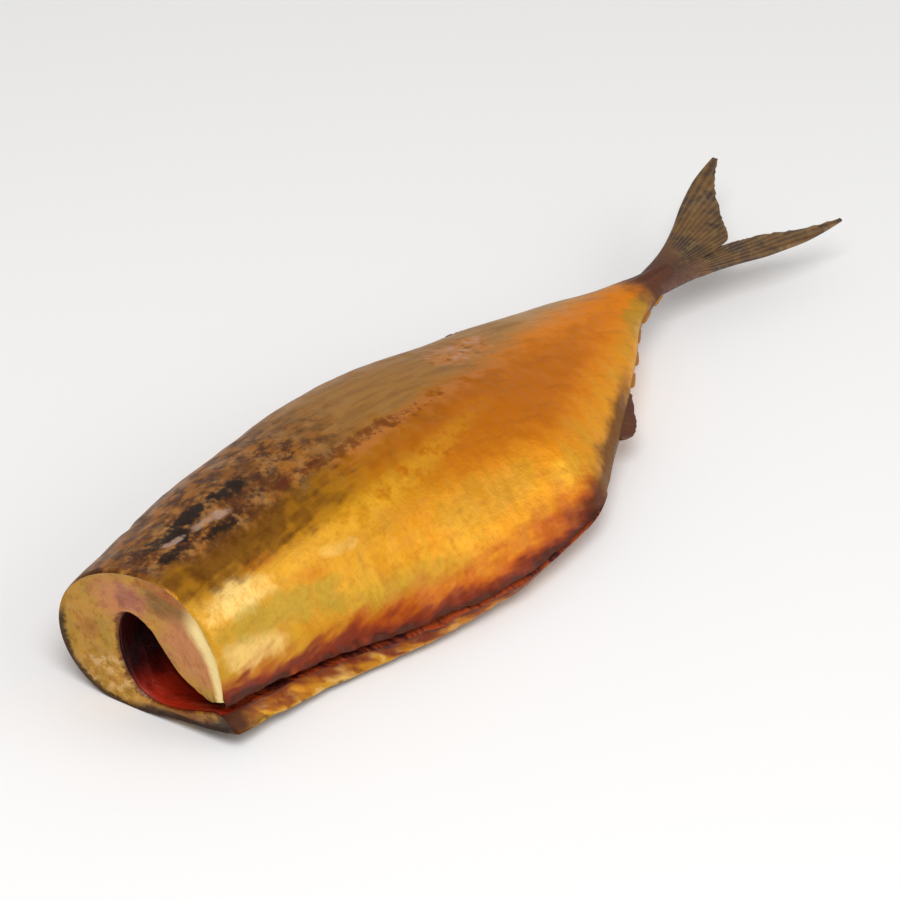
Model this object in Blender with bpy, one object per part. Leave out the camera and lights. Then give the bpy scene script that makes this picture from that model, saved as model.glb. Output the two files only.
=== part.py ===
"""A headless, gutted, cold-smoked mackerel lying on its right side.

Metres, +Z up. +X runs from the cut at the head end to the tail, +Y is the side of the back, -Y the side
of the belly. The fish is modelled with its cut at x = 0 and moved at the end, so that the origin is the
middle of its footprint.
"""

import math

import bmesh
import bpy
from mathutils import Matrix, Vector

MM = 0.001

# Driving sizes of the body, in millimetres from the cut. Each curve is (x, value) at the stations that
# shape it, and is smooth between them.
BODY_LENGTH = 236.0
BACK_EDGE = ((0, 30.5), (50, 39), (100, 42.5), (150, 36), (190, 28), (215, 20.5), (236, 16))
BELLY_EDGE = ((0, -19.5), (25, -23), (50, -29), (70, -34.5), (105, -40), (134, -38.5), (165, -25), (196, -8.5),
              (214, 2), (236, 7.5))
THICKNESS = ((0, 45.5), (60, 47), (115, 43.5), (160, 32.5), (205, 17), (236, 8.5))
MID_HEIGHT = ((0, 19.6), (60, 19.2), (115, 17.4), (160, 15.4), (205, 15), (236, 16))
TILT_DEG = ((0, 5), (110, 5), (236, 4))
BELLY_SAG = ((0, 8.5), (60, 10), (110, 8), (150, 4), (200, 0), (236, 0))
BELLY_PINCH = ((0, 0.18), (90, 0.38), (160, 0.25), (236, 0.1))
CUT_SLANT = math.tan(math.radians(10))
CUT_SLANT_REACH = 70.0
FLOOR_EASE = 0.8

# The flap below the slit: how far it reaches past the flap above it, how far its edge drops, and how much
# its underside is lifted at the cut. The flap above it bulges out near the cut.
FLAP_REACH = ((0, 7.5), (25, 6.8), (50, 5.2), (70, 3.6), (90, 1.6), (120, 0), (236, 0))
FLAP_DROP = ((0, 6.5), (40, 3.2), (90, 1), (120, 0), (236, 0))
FLAP_LIFT = ((0, 6), (20, 3), (45, 0), (236, 0))
UPPER_FLAP_BULGE = ((0, 7.5), (30, 4.5), (70, 0), (236, 0))

# The belly cavity and the slit that opens it.
VENT_X = 146.0
SLIT_ABOVE_EDGE = ((0, 2.5), (60, 2.5), (105, 2), (146, 1))
SLIT_GAP = ((0, 3.2), (60, 2.0), (120, 1.6), (146, 1.0))
CAVITY_ROOF = ((0, 0.3), (60, 0.25), (110, 0.0), (146, -0.55))
CAVITY_ROOF_ABOVE_MIDDLE = ((0, 5), (60, 5), (110, 2), (146, 0))
CAVITY_HALF_WIDTH = ((0, 9), (50, 8.6), (100, 5.5), (146, 1.2))
CAVITY_LEAN = ((0, 0.3), (60, 0.32), (110, 0.35), (146, 0.35))
CAVITY_SAG = ((0, 10.5), (40, 7), (90, 2), (146, 0))

# The tail fin's two lobes, root to tip: the leading edge's (x, y), the edge in the fork's (x, y), the
# height of the lobe's middle and its thickness at the leading edge.
UPPER_LOBE = (
    (228, 15.6, 229, 8.5, 16.0, 6.0),
    (244, 18.6, 246, 8.2, 16.4, 3.4),
    (258, 23.4, 264.5, 8.2, 16.8, 2.4),
    (272, 29.4, 275.5, 17.0, 17.4, 2.0),
    (286, 34.2, 286.5, 27.0, 18.0, 1.7),
    (298, 36.4, 299.2, 34.8, 18.6, 1.3),
)
LOWER_LOBE = (
    (228, 7.4, 229, 14.5, 16.0, 6.0),
    (244, 4.4, 246, 13.0, 15.8, 3.4),
    (257, 0.9, 264.9, 8.6, 15.6, 2.4),
    (272, -4.6, 276.5, 4.6, 15.2, 2.0),
    (288, -8.4, 290, -2.8, 15.4, 1.7),
    (302, -9.8, 302.6, -8.3, 16.0, 1.3),
)
FORK_EDGE = 0.45
RAYS = 5
RAY_RELIEF = 0.12

# Short dried fins along the back (+1) and the belly (-1): the side, the x of the root's front and rear,
# the height above the skin and the thickness.
SECOND_DORSAL = (1, 160, 178, 3.2, 2.0)
ANAL = (-1, 168, 186, 3.8, 2.0)
FINLETS = 5
FINLET_FIRST_X = 188.0
FINLET_PITCH = 9.0
FINLET_SIZE = (5.5, 1.3, 1.4)

# The mesh's fineness.
RING_POINTS = 56
STATIONS = 48
CAVITY_RING_POINTS = 28
CAVITY_STATIONS = 20
LOBE_RING_POINTS = 32
LOBE_STATIONS = 13
BLADE_STATIONS = 7


def curve(keys, x):
    """The value at x of a smooth curve through (x, value) keys, with no overshoot between them."""
    if x <= keys[0][0]:
        return keys[0][1]
    if x >= keys[-1][0]:
        return keys[-1][1]
    slopes = [(b[1] - a[1]) / (b[0] - a[0]) for a, b in zip(keys, keys[1:])]
    tangents = [slopes[0]]
    for before, after in zip(slopes, slopes[1:]):
        tangents.append(2 * before * after / (before + after) if before * after > 0 else 0.0)
    tangents.append(slopes[-1])
    for i, (a, b) in enumerate(zip(keys, keys[1:])):
        if x <= b[0]:
            span = b[0] - a[0]
            s = (x - a[0]) / span
            return (
                a[1] * (1 + 2 * s) * (1 - s) ** 2
                + b[1] * s * s * (3 - 2 * s)
                + span * s * (1 - s) * (tangents[i] * (1 - s) - tangents[i + 1] * s)
            )
    return keys[-1][1]


def smooth_step(low, high, x):
    s = min(1.0, max(0.0, (x - low) / (high - low)))
    return s * s * (3 - 2 * s)


def above_floor(z):
    """Height flattened at the floor: flat below it, and eased in over FLOOR_EASE above it."""
    if z <= -FLOOR_EASE:
        return 0.0
    if z >= FLOOR_EASE:
        return z
    return (z + FLOOR_EASE) ** 2 / (4 * FLOOR_EASE)


def in_body(x, along, across, floor=above_floor):
    """A point of the section at x. along is millimetres from mid-body towards the back, across is
    millimetres towards the upper flank, and floor is the rule that flattens what meets the floor."""
    half_depth = (curve(BACK_EDGE, x) - curve(BELLY_EDGE, x)) / 2
    middle = (curve(BACK_EDGE, x) + curve(BELLY_EDGE, x)) / 2
    tilt = math.radians(curve(TILT_DEG, x))
    towards_belly = max(0.0, -along / half_depth)
    y = middle + along * math.cos(tilt) - across * math.sin(tilt)
    z = curve(MID_HEIGHT, x) + along * math.sin(tilt) + across * math.cos(tilt)
    z -= curve(BELLY_SAG, x) * towards_belly**2
    lower = 1 - smooth_step(-7, 1, across)
    y -= curve(FLAP_REACH, x) * lower * towards_belly**3
    z -= curve(FLAP_DROP, x) * lower * towards_belly**3
    z += curve(FLAP_LIFT, x) * lower * towards_belly
    slant = CUT_SLANT * (1 - smooth_step(0, CUT_SLANT_REACH, x))
    return Vector((x - slant * y, y, floor(z))) * MM


def skin_offset(x, angle):
    """(along, across) of the skin at an angle: 0 at the back, +pi/2 on the upper flank, pi at the belly."""
    half_depth = (curve(BACK_EDGE, x) - curve(BELLY_EDGE, x)) / 2
    half_thickness = curve(THICKNESS, x) / 2
    near_belly = ((1 - math.cos(angle)) / 2) ** 2
    across = half_thickness * math.sin(angle) * (1 - curve(BELLY_PINCH, x) * near_belly)
    across += curve(UPPER_FLAP_BULGE, x) * max(0.0, math.sin(angle)) * near_belly
    return half_depth * math.cos(angle), across


def skin_point(x, angle):
    return in_body(x, *skin_offset(x, angle))


def slit_angle(x):
    """The angle on the skin where the belly slit runs, its distance above the belly's edge worked out."""
    angle, step, gone = math.pi, 0.01, 0.0
    while gone < curve(SLIT_ABOVE_EDGE, x):
        a, b = Vector(skin_offset(x, angle)), Vector(skin_offset(x, angle - step))
        gone += (a - b).length
        angle -= step
    return angle


def cavity_ring(x):
    """The cavity's outline at x: a drop with its round end by the backbone and its open neck past the skin."""
    half_depth = (curve(BACK_EDGE, x) - curve(BELLY_EDGE, x)) / 2
    roof = Vector((curve(CAVITY_ROOF, x) * half_depth, curve(CAVITY_ROOF_ABOVE_MIDDLE, x)))
    mouth = Vector(skin_offset(x, slit_angle(x)))
    axis = mouth - roof
    side = Vector((-axis.y, axis.x)).normalized()
    widest, neck = curve(CAVITY_HALF_WIDTH, x), curve(SLIT_GAP, x) / 2
    ring = []
    for i in range(CAVITY_RING_POINTS):
        s = 2 * i / (CAVITY_RING_POINTS - 1) - 1
        m = abs(s)
        down = 1.12 * (1 - math.cos(math.pi / 2 * m))
        width = widest * math.sin(math.pi * min(1, m / 0.86)) + neck * smooth_step(0, 0.8, m)
        width *= 1 + math.copysign(curve(CAVITY_LEAN, x), s)
        sag = curve(CAVITY_SAG, x) * math.sin(math.pi * min(1, down) ** 1.4)
        offset = roof + axis * down + side * (math.copysign(width, s) + sag)
        ring.append(in_body(x, offset.x, offset.y, floor=lambda z: z))
    return ring


def loft(name, rings):
    """One closed solid through rings of equal point count, capped at both ends."""
    bm = bmesh.new()
    loops = [[bm.verts.new(p) for p in ring] for ring in rings]
    for near, far in zip(loops, loops[1:]):
        for i in range(len(near)):
            k = (i + 1) % len(near)
            bm.faces.new((near[i], near[k], far[k], far[i]))
    bm.faces.new(loops[0])
    bm.faces.new(loops[-1])
    bmesh.ops.recalc_face_normals(bm, faces=bm.faces[:])
    mesh = bpy.data.meshes.new(name)
    bm.to_mesh(mesh)
    bm.free()
    piece = bpy.data.objects.new(name, mesh)
    bpy.context.scene.collection.objects.link(piece)
    return piece


def loft_body():
    rings = []
    for k in range(STATIONS):
        x = BODY_LENGTH * k / (STATIONS - 1)
        rings.append([skin_point(x, 2 * math.pi * i / RING_POINTS) for i in range(RING_POINTS)])
    return loft("mackerel", rings)


def cavity_cutter():
    """The belly cavity, from in front of the cut to the vent, where it closes."""
    front = -12.0
    step = (VENT_X - front) / (CAVITY_STATIONS - 1)
    return loft("cavity", [cavity_ring(front + step * k) for k in range(CAVITY_STATIONS)])


def lobe(name, stations):
    """One lobe of the tail fin: a tapering plate, thick along its leading edge, with the fin rays in relief."""
    columns = [[(i, row[c]) for i, row in enumerate(stations)] for c in range(6)]
    rings = []
    for k in range(LOBE_STATIONS):
        at = (len(stations) - 1) * k / (LOBE_STATIONS - 1)
        lead_x, lead_y, fork_x, fork_y, height, thickness = (curve(column, at) for column in columns)
        rings.append([])
        for i in range(LOBE_RING_POINTS):
            angle = 2 * math.pi * i / LOBE_RING_POINTS
            across = (1 - math.cos(angle)) / 2
            half = thickness / 2 * (1 - (1 - FORK_EDGE) * across)
            ray = 1 + RAY_RELIEF * math.cos(2 * math.pi * RAYS * across)
            z = height + half * ray * math.copysign(abs(math.sin(angle)) ** 0.6, math.sin(angle))
            x = lead_x + (fork_x - lead_x) * across
            y = lead_y + (fork_y - lead_y) * across
            rings[-1].append(Vector((x, y, z)) * MM)
    return loft(name, rings)


def blade(name, side, front, rear, height, thickness):
    """A short fin that stands on the back's or the belly's edge and leans to the tail."""
    rings = []
    for k in range(BLADE_STATIONS):
        s = k / (BLADE_STATIONS - 1)
        x = front + (rear - front) * s
        half_depth = (curve(BACK_EDGE, x) - curve(BELLY_EDGE, x)) / 2
        rise = height * max(0.12, math.sin(math.pi * s**0.7))
        root, tip = half_depth - 2.5, half_depth + rise
        outline = ((root, -0.5), (tip - 0.5, -0.35), (tip, 0), (tip - 0.5, 0.35), (root, 0.5))
        rings.append([in_body(x + 0.8 * max(0.0, along - half_depth), side * along, wide * thickness)
                      for along, wide in outline])
    return loft(name, rings)


def fins():
    made = [lobe("upper lobe", UPPER_LOBE), lobe("lower lobe", LOWER_LOBE)]
    made.append(blade("second dorsal fin", *SECOND_DORSAL))
    made.append(blade("anal fin", *ANAL))
    length, height, thickness = FINLET_SIZE
    for k in range(FINLETS):
        x = FINLET_FIRST_X + FINLET_PITCH * k
        for side in (1, -1):
            made.append(blade("finlet", side, x, x + length, height, thickness))
    return made


def join(target, pieces):
    """Fuse the pieces to the target as one solid, and remove them."""
    group = bpy.data.collections.new("fins")
    bpy.context.scene.collection.children.link(group)
    for piece in pieces:
        bpy.context.scene.collection.objects.unlink(piece)
        group.objects.link(piece)
    union = target.modifiers.new("fins", "BOOLEAN")
    union.operation = "UNION"
    union.operand_type = "COLLECTION"
    union.collection = group
    apply_modifiers(target)
    for piece in pieces:
        bpy.data.objects.remove(piece)
    bpy.data.collections.remove(group)


def hollow(target, cutter):
    """Cut the cutter's shape out of the target, and remove the cutter."""
    cut = target.modifiers.new("cavity", "BOOLEAN")
    cut.operation = "DIFFERENCE"
    cut.object = cutter
    apply_modifiers(target)
    bpy.data.objects.remove(cutter)


def apply_modifiers(piece):
    evaluated = piece.evaluated_get(bpy.context.evaluated_depsgraph_get())
    mesh = bpy.data.meshes.new_from_object(evaluated)
    piece.modifiers.clear()
    piece.data = mesh


def centre_on_floor(piece):
    """Move the mesh so that the middle of its footprint is the origin, at the height of the floor."""
    corners = [Vector(corner) for corner in piece.bound_box]
    low = Vector([min(corner[i] for corner in corners) for i in range(3)])
    high = Vector([max(corner[i] for corner in corners) for i in range(3)])
    middle = (low + high) / 2
    piece.data.transform(Matrix.Translation((-middle.x, -middle.y, -low.z)))


def smoked_skin():
    material = bpy.data.materials.new("smoked_skin")
    material.use_nodes = True
    surface = material.node_tree.nodes["Principled BSDF"]
    surface.inputs["Base Color"].default_value = (0.62, 0.31, 0.05, 1)
    surface.inputs["Roughness"].default_value = 0.38
    surface.inputs["Metallic"].default_value = 0.0
    return material


def main():
    for old in list(bpy.data.objects):
        bpy.data.objects.remove(old)
    fish = loft_body()
    join(fish, fins())
    hollow(fish, cavity_cutter())
    centre_on_floor(fish)
    fish.data.materials.clear()
    fish.data.materials.append(smoked_skin())
    fish.data.shade_smooth()
    fish.data.set_sharp_from_angle(angle=math.radians(40))


main()
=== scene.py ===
import math

import bpy
import numpy as np
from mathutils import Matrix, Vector


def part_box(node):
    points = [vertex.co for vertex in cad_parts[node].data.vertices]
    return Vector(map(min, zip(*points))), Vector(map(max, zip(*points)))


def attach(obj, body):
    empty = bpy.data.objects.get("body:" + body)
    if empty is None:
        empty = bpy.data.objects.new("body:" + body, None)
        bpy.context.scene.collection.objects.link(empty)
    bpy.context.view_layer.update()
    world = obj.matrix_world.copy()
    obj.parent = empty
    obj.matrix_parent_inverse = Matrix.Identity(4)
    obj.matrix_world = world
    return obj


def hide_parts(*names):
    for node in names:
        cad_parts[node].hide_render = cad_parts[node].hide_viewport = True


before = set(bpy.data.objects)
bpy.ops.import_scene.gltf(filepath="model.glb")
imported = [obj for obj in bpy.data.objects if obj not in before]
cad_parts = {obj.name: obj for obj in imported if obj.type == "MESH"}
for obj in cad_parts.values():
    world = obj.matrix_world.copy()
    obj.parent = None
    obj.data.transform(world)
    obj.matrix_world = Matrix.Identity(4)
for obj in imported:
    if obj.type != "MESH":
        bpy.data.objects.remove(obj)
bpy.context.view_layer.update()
_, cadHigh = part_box("mackerel")
mm = 0.001
solidEnd = (302.6, 42.18)  # the solid's largest x and y, in millimetres from the cut
footprintMiddle = np.array([solidEnd[0] - cadHigh.x / mm, solidEnd[1] - cadHigh.y / mm, 0.0])


# Shaping helpers. Everything is worked out in millimetres from the cut and placed at the end.

def follow(keys, x):
    # a smooth curve through (x, value) keys, with no overshoot between them
    xs, ys = np.array(keys, float).T
    slopes = np.diff(ys) / np.diff(xs)
    before, after = slopes[:-1], slopes[1:]
    same = before * after > 0
    inner = np.zeros(len(before))
    inner[same] = 2 * before[same] * after[same] / (before[same] + after[same])
    tangents = np.concatenate([slopes[:1], inner, slopes[-1:]])
    x = np.clip(x, xs[0], xs[-1])
    i = np.clip(np.searchsorted(xs, x, side="right") - 1, 0, len(slopes) - 1)
    span = xs[i + 1] - xs[i]
    s = (x - xs[i]) / span
    return (ys[i] * (1 + 2 * s) * (1 - s) ** 2 + ys[i + 1] * s * s * (3 - 2 * s)
            + span * s * (1 - s) * (tangents[i] * (1 - s) - tangents[i + 1] * s))


def ease(low, high, x):
    s = np.clip((x - low) / (high - low), 0, 1)
    return s * s * (3 - 2 * s)


def hump(x, middle, width):
    return np.exp(-((x - middle) / width) ** 2)


def lumps(points, size, seed=0):
    # smooth bumps between -1 and 1, about size apart, anywhere in space
    grid = np.asarray(points, float) / size + seed * 17.3
    base = np.floor(grid)
    part = grid - base
    part = part * part * (3 - 2 * part)
    total = 0
    for corner in np.ndindex(2, 2, 2):
        at = base + corner
        wild = np.sin(at[..., 0] * 127.1 + at[..., 1] * 311.7 + at[..., 2] * 74.7) * 43758.5453
        weight = np.prod(np.where(corner, part, 1 - part), axis=-1)
        total = total + weight * (2 * (wild - np.floor(wild)) - 1)
    return total


def stacked(*columns):
    return np.stack(np.broadcast_arrays(*columns), axis=-1)


# The fish's form: the outline, the sections and the belly cavity.
form = {
    "length": 236.0,
    "backEdge": ((0, 30.5), (50, 39), (100, 42.5), (150, 36), (190, 28), (215, 20.5), (236, 16)),
    "bellyEdge": ((0, -19.5), (25, -23), (50, -29), (70, -34.5), (105, -40), (134, -38.5), (165, -25),
                  (196, -8.5), (214, 2), (236, 7.5)),
    "thickness": ((0, 45.5), (60, 47), (115, 43.5), (160, 32.5), (205, 17), (236, 8.5)),
    "midHeight": ((0, 19.6), (60, 19.2), (115, 17.4), (160, 15.4), (205, 15), (236, 16)),
    "tiltDegrees": ((0, 5), (110, 5), (236, 4)),
    "bellySag": ((0, 8.5), (60, 10), (110, 8), (150, 4), (200, 0), (236, 0)),
    "bellyPinch": ((0, 0.18), (90, 0.38), (160, 0.25), (236, 0.1)),
    "flapReach": ((0, 7.5), (25, 6.8), (50, 5.2), (70, 3.6), (90, 1.6), (120, 0), (236, 0)),
    "flapDrop": ((0, 6.5), (40, 3.2), (90, 1), (120, 0), (236, 0)),
    "flapLift": ((0, 6), (20, 3), (45, 0), (236, 0)),
    "flapBulge": ((0, 7.5), (30, 4.5), (70, 0), (236, 0)),
    "cutSlant": math.tan(math.radians(10)),
    "cutSlantReach": 70.0,
    "floorEase": 0.8,
    "ventX": 147.0,
    "slitAboveEdge": ((0, 2.5), (60, 2.5), (105, 2), (147, 1)),
    "slitGap": ((0, 3.0), (60, 2.0), (120, 1.5), (140, 0.9), (147, 0.02)),
    "cavityRoof": ((0, 0.3), (60, 0.25), (110, 0.0), (140, -0.55), (147, -0.9)),
    "cavityRoofAboveMiddle": ((0, 5), (60, 5), (110, 2), (147, 0)),
    "cavityHalfWidth": ((0, 9.0), (50, 8.6), (100, 5.5), (140, 1.6), (147, 0.1)),
    "cavityLean": ((0, 0.3), (60, 0.32), (110, 0.35), (147, 0.35)),
    "cavitySag": ((0, 10.5), (40, 7), (90, 2), (147, 0)),
}


def halfDepth(x):
    return (follow(form["backEdge"], x) - follow(form["bellyEdge"], x)) / 2


def offFloor(z):
    flat = form["floorEase"]
    return np.where(z <= -flat, 0.0, np.where(z >= flat, z, (z + flat) ** 2 / (4 * flat)))


def asItLies(x, along, across):
    # from the upright section at x to the fish lying on its side
    middle = (follow(form["backEdge"], x) + follow(form["bellyEdge"], x)) / 2
    tilt = np.radians(follow(form["tiltDegrees"], x))
    towardsBelly = np.maximum(0.0, -along / halfDepth(x))
    lower = 1 - ease(-7, 1, across)
    y = middle + along * np.cos(tilt) - across * np.sin(tilt)
    z = follow(form["midHeight"], x) + along * np.sin(tilt) + across * np.cos(tilt)
    z = z - follow(form["bellySag"], x) * towardsBelly**2
    y = y - follow(form["flapReach"], x) * lower * towardsBelly**3
    z = z - follow(form["flapDrop"], x) * lower * towardsBelly**3
    z = z + follow(form["flapLift"], x) * lower * towardsBelly
    slant = form["cutSlant"] * (1 - ease(0, form["cutSlantReach"], x))
    return stacked(x - slant * y, y, offFloor(z))


def skinSection(x, turn):
    # (along, across) of the skin at a turn: 0 at the back, half pi on the upper flank, pi at the belly
    nearBelly = ((1 - np.cos(turn)) / 2) ** 2
    across = follow(form["thickness"], x) / 2 * np.sin(turn) * (1 - follow(form["bellyPinch"], x) * nearBelly)
    across = across + follow(form["flapBulge"], x) * np.maximum(0, np.sin(turn)) * nearBelly
    return halfDepth(x) * np.cos(turn), across


def turnAboveBelly(x, distance):
    # the turn where the skin is this many millimetres above the belly's edge, for one x
    turns = np.linspace(math.pi - 0.7, math.pi + 0.5, 240)
    along, across = skinSection(x, turns)
    steps = np.hypot(np.diff(along), np.diff(across))
    run = np.concatenate([[0], np.cumsum(steps)])
    run = np.interp(math.pi, turns, run) - run
    return float(np.interp(distance, run[::-1], turns[::-1]))


def cavitySection(x, deep, side, lip):
    # deep runs from 0 at the cavity's roof to 1 at the lip, side is -1 on the upper wall and 1 on the lower
    roof = np.array([follow(form["cavityRoof"], x) * halfDepth(x), follow(form["cavityRoofAboveMiddle"], x)])
    mouth = np.array(skinSection(x, turnAboveBelly(x, follow(form["slitAboveEdge"], x))))
    axis = mouth - roof
    across = np.array([-axis[1], axis[0]]) / np.hypot(*axis)
    down = 1 - np.cos(math.pi / 2 * deep)
    bulge = np.sin(math.pi * np.minimum(1, deep / 0.9))
    width = follow(form["cavityHalfWidth"], x) * bulge * (1 + follow(form["cavityLean"], x) * side)
    width = width + follow(form["slitGap"], x) / 2 * ease(0, 0.8, deep)
    sag = follow(form["cavitySag"], x) * np.sin(math.pi * down**1.4)
    point = roof + axis * down[:, None] + across * (side * width + sag)[:, None]
    ending = mouth + across * side[-1] * follow(form["slitGap"], x) / 2
    return point + (lip - ending) * ease(0.75, 1.0, deep)[:, None]


# Mesh helpers.

def placed(points):
    # from millimetres from the cut to the frame's metres
    return (np.asarray(points) - footprintMiddle) * mm


def makePiece(name, points, faces, finish, attributes):
    mesh = bpy.data.meshes.new(name)
    mesh.from_pydata(points.tolist(), [], faces)
    mesh.validate()
    for key, values in attributes.items():
        layer = mesh.attributes.new(key, "FLOAT", "POINT")
        layer.data.foreach_set("value", np.asarray(values, np.float32).ravel())
    mesh.shade_smooth()
    mesh.materials.append(finish)
    piece = bpy.data.objects.new(name, mesh)
    bpy.context.scene.collection.objects.link(piece)
    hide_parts("mackerel")
    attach(piece, "root")
    print("made", name, len(points), "points")


def gridFaces(rows, columns, start=0, flip=False, closed=False):
    faces = []
    for r in range(rows - 1):
        for c in range(columns if closed else columns - 1):
            a, b = start + r * columns + c, start + r * columns + (c + 1) % columns
            quad = (a, b, b + columns, a + columns)
            faces.append(quad[::-1] if flip else quad)
    return faces


# Finishes. A Wire is a value on its way through a material.

class Wire:
    def __init__(self, finish, socket):
        self.finish, self.socket = finish, socket

    def run(self, operation, *inputs):
        return self.finish.node("ShaderNodeMath", {"operation": operation}, inputs)

    def __add__(self, other):
        return self.run("ADD", self, other)

    def __sub__(self, other):
        return self.run("SUBTRACT", self, other)

    def __rsub__(self, other):
        return self.run("SUBTRACT", other, self)

    def __mul__(self, other):
        return self.run("MULTIPLY", self, other)

    def __truediv__(self, other):
        return self.run("DIVIDE", self, other)

    def __rtruediv__(self, other):
        return self.run("DIVIDE", other, self)

    def __abs__(self):
        return self.run("ABSOLUTE", self)

    __radd__ = __add__
    __rmul__ = __mul__


class Finish:
    def __init__(self, name, **constants):
        self.material = bpy.data.materials.new(name)
        self.material.use_nodes = True
        self.tree = self.material.node_tree
        self.surface = self.tree.nodes["Principled BSDF"]
        for key, value in constants.items():
            self.surface.inputs[key].default_value = value

    def node(self, kind, settings, sockets, out=0):
        made = self.tree.nodes.new(kind)
        for key, value in settings.items():
            setattr(made, key, value)
        for key, value in (sockets.items() if isinstance(sockets, dict) else enumerate(sockets)):
            if isinstance(value, Wire):
                self.tree.links.new(value.socket, made.inputs[key])
            else:
                made.inputs[key].default_value = value
        return Wire(self, made.outputs[out])

    def attribute(self, name):
        return self.node("ShaderNodeAttribute", {"attribute_name": name}, (), out="Fac")

    def between(self, value, low, high, start=0.0, end=1.0):
        # a soft step of value from low to high
        return self.node("ShaderNodeMapRange", {"interpolation_type": "SMOOTHSTEP"},
                         {"Value": value, "From Min": low, "From Max": high, "To Min": start, "To Max": end})

    def point(self, x, y, z=0.0):
        return self.node("ShaderNodeCombineXYZ", {}, (x, y, z))

    def noise(self, where, scale, detail=3.0, roughness=0.5, warp=0.0):
        return self.node("ShaderNodeTexNoise", {}, {"Vector": where, "Scale": scale, "Detail": detail,
                                                    "Roughness": roughness, "Distortion": warp})

    def cells(self, where, scale, feature="F1", random=1.0):
        return self.node("ShaderNodeTexVoronoi", {"feature": feature},
                         {"Vector": where, "Scale": scale, "Randomness": random})

    def patch(self, x, y, at, size, slope=0.0, wander=0.0, soft=0.45):
        # a soft oval round a place, tilted by slope, its edge moved by wander
        u = (x - at[0]) / size[0]
        v = (y - at[1] - (x - at[0]) * slope) / size[1]
        return self.between(u * u + v * v + wander, 0.8 + soft, 0.8 - soft)

    def mix(self, amount, first, second):
        return self.node("ShaderNodeMix", {"data_type": "RGBA", "blend_type": "MIX", "clamp_factor": True},
                         {0: amount, 6: first, 7: second}, out=2)

    def bump(self, height, strength, distance):
        return self.node("ShaderNodeBump", {}, {"Strength": strength, "Distance": distance, "Height": height})

    def feed(self, **values):
        names = {"colour": "Base Color", "roughness": "Roughness", "metallic": "Metallic",
                 "coat": "Coat Weight", "normal": "Normal"}
        for key, value in values.items():
            self.tree.links.new(value.socket, self.surface.inputs[names[key]])


def tone(red, green, blue):
    # a colour as seen on screen, 0 to 255, for a shader
    return tuple((c / 255) ** 2.2 for c in (red, green, blue)) + (1.0,)


# The skin: gold flanks, a dark marbled back and a red slit.
skinLook = {
    "gold": tone(204, 138, 20),
    "paleGold": tone(222, 172, 66),
    "cream": tone(250, 212, 128),
    "amber": tone(196, 106, 2),
    "rearOrange": tone(238, 134, 2),
    "tanGold": tone(238, 160, 34),
    "olive": tone(170, 140, 44),
    "streakAndHighlight": tone(240, 176, 44),
    "smokeBrownAndShade": tone(88, 46, 10),
    "marble": tone(160, 98, 32),
    "marbleLine": tone(62, 24, 6),
    "soot": tone(66, 30, 20),
    "ink": tone(30, 10, 10),
    "glint": tone(186, 152, 134),
    "grey": tone(160, 112, 54),
    "paleGrey": tone(186, 142, 88),
    "pinkTan": tone(208, 126, 62),
    "redLine": tone(96, 36, 8),
    "slitOrange": tone(170, 62, 2),
    "slitRed": tone(108, 22, 3),
    "slitShadeAndBlood": tone(48, 8, 3),
    "flapGold": tone(212, 160, 36),
    "crust": tone(62, 22, 6),
    "plum": tone(76, 42, 36),
}

# the place along the fish and round it, and the size the same two ways
inkBlots = (
    ((18, 0.385), (8, 0.034)), ((30, 0.378), (9, 0.028)), ((43, 0.385), (7, 0.026)), ((12, 0.46), (6, 0.022)),
    ((30, 0.485), (7, 0.02)), ((22, 0.42), (6, 0.03)))
paleGlints = (((31, 0.435), (5, 0.018)), ((17, 0.42), (4, 0.012)))
# the same, with the colour before and the amount after; the cream patches and the yellow patch at x 134 are
# painted highlights
flankPatches = (
    ("cream", (15, 0.68), (13, 0.05), 0.8), ("cream", (12, 0.83), (12, 0.05), 0.7),
    ("cream", (54, 0.66), (7, 0.018), 0.3), ("olive", (26, 0.76), (22, 0.05), 0.75),
    ("olive", (66, 0.8), (26, 0.04), 0.5), ("olive", (104, 0.7), (20, 0.05), 0.3),
    ("amber", (40, 0.7), (6, 0.02), 0.3), ("amber", (28, 0.62), (7, 0.02), 0.5),
    ("streakAndHighlight", (134, 0.76), (7, 0.035), 0.7), ("olive", (212, 0.8), (11, 0.16), 0.6))


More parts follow.
